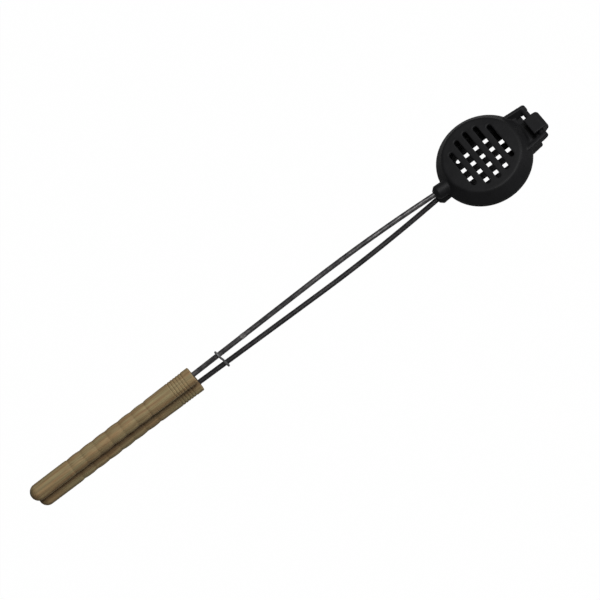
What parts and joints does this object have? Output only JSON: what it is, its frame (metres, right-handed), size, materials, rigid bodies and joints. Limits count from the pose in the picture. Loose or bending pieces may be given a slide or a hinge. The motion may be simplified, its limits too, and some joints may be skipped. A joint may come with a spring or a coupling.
{
  "type": "burger iron",
  "caption": "Long handled cast iron that clamps and cooks a round patty over a fire: hinged slotted pans on rods with wooden grips and a wire latch.",
  "frame": {"origin": "centre of the lower half's flat outer face, on which the head rests", "axes": "+X along the iron from the grips towards the hinge, +Z from the lower half to the upper half, +Y away from the side that the latch hangs on"},
  "size_m": [0.7113, 0.1114, 0.044],
  "materials": {
    "upper_casting": "seasoned sand casting, near black, soft sheen",
    "lower_casting": "seasoned sand casting, near black, soft sheen",
    "rods": "dark mill scale with lengthwise rubs",
    "grips": "turned hardwood, waxed, fine lengthwise grain",
    "latch_wire": "dull bent wire"
  },
  "bodies": {
    "lower_half": {"lower_plate": "lower_casting", "lower_rod": "rods", "lower_grip": "grips"},
    "upper_half": {"upper_plate": "upper_casting", "upper_rod": "rods", "upper_grip": "grips"},
    "latch": {"latch_hook": "latch_wire"}
  },
  "joints": [
    {"name": "head_hinge", "type": "hinge", "parent": "lower_half", "child": "upper_half", "pos_m": [0.0688, 0, 0.0205], "axis": [0, 1, 0], "range_deg": [0, 115]},
    {"name": "latch_swing", "type": "hinge", "parent": "upper_half", "child": "latch", "pos_m": [-0.369, 0, 0.02857], "axis": [-0.9996, 0, -0.0297], "range_deg": [0, 320]}
  ]
}
